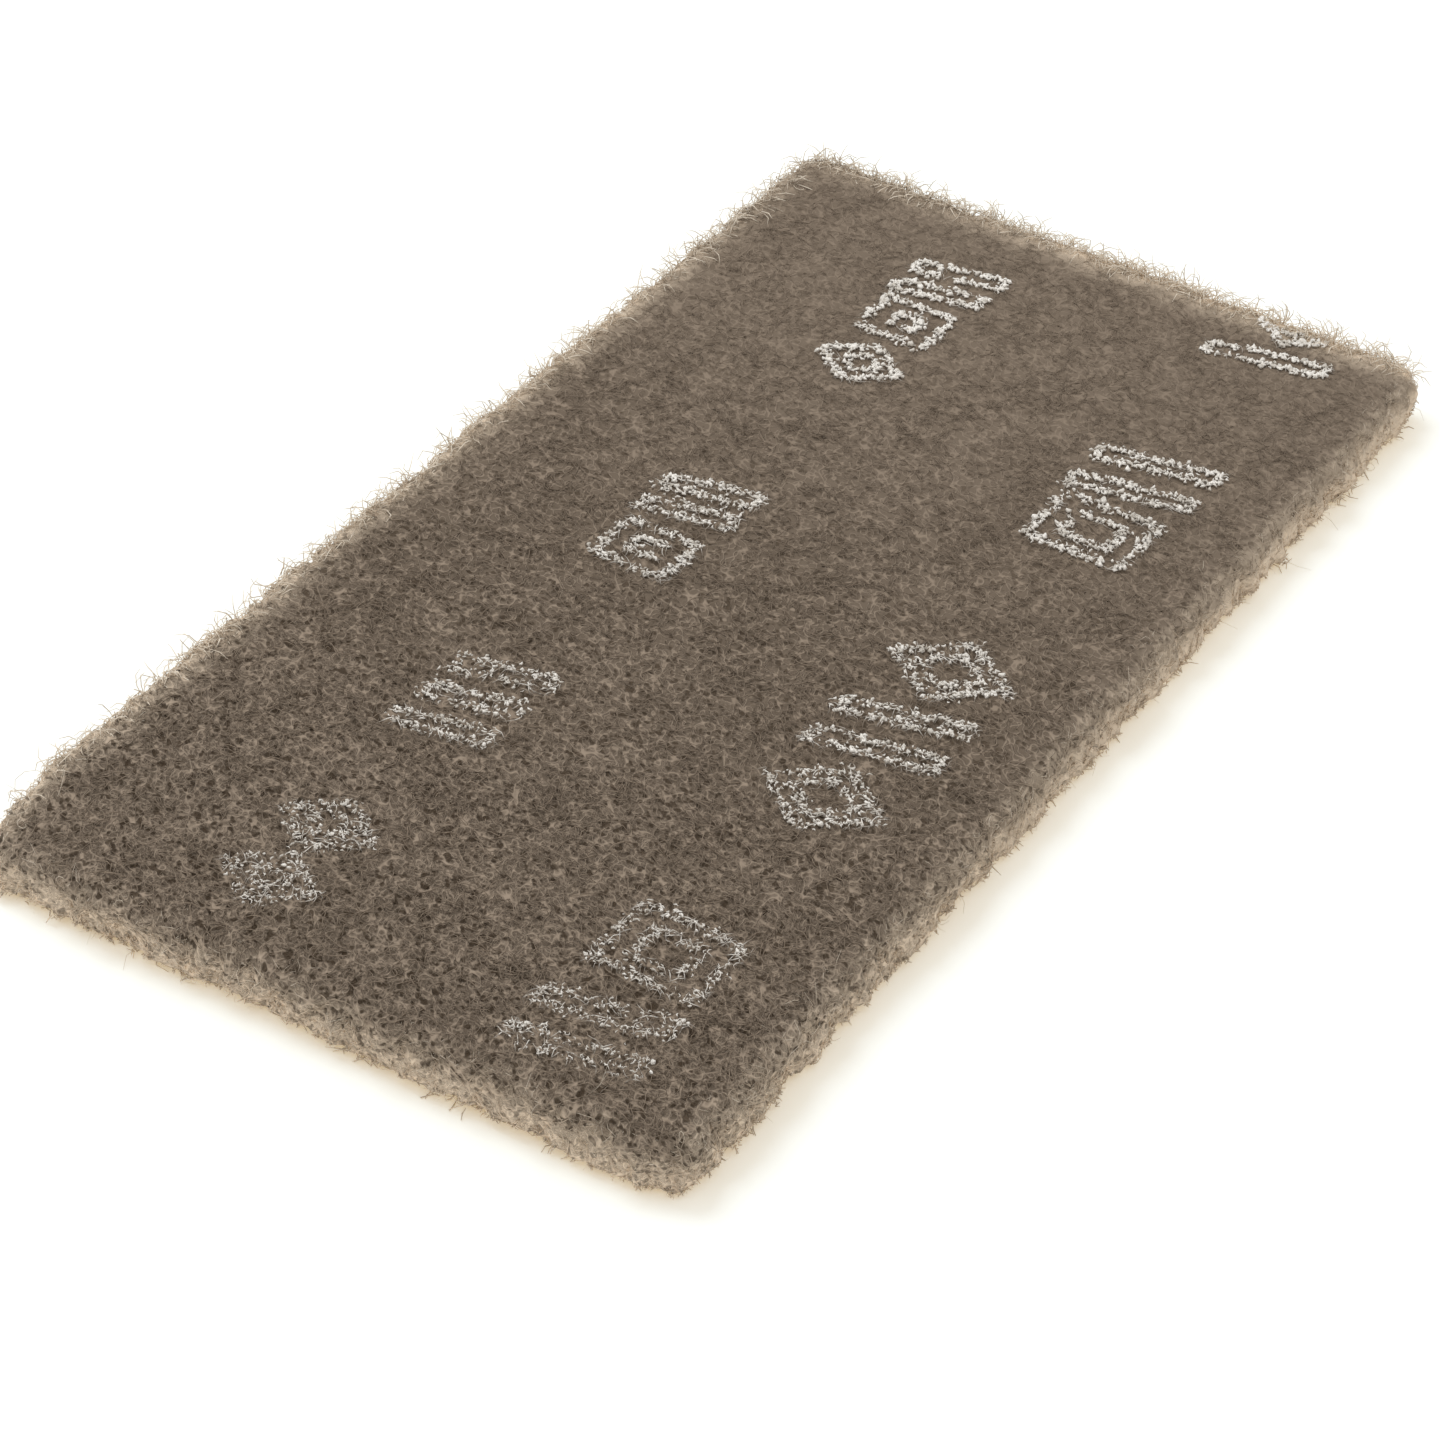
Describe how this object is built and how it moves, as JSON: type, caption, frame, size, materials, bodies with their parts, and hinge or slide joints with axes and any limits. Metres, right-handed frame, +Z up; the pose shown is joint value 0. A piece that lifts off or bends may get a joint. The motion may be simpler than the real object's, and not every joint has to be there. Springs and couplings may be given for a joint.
{
  "type": "non-woven abrasive pad",
  "caption": "Rectangular hand pad of lofty non-woven abrasive fibre web, die-cut with small round corners, for scuffing and fine finishing by hand.",
  "frame": {"origin": "centre of the underside, on the surface that the pad lies on", "axes": "+Z up through the thickness, +Y along the length, +X across the width"},
  "size_m": [0.1146, 0.2294, 0.0095],
  "materials": {
    "fibre_web": "matte taupe-grey abrasive-coated nylon fibres, open and unwoven, paler at the cut edges"
  },
  "bodies": {
    "root": {"abrasive_pad": "fibre_web"}
  },
  "joints": []
}
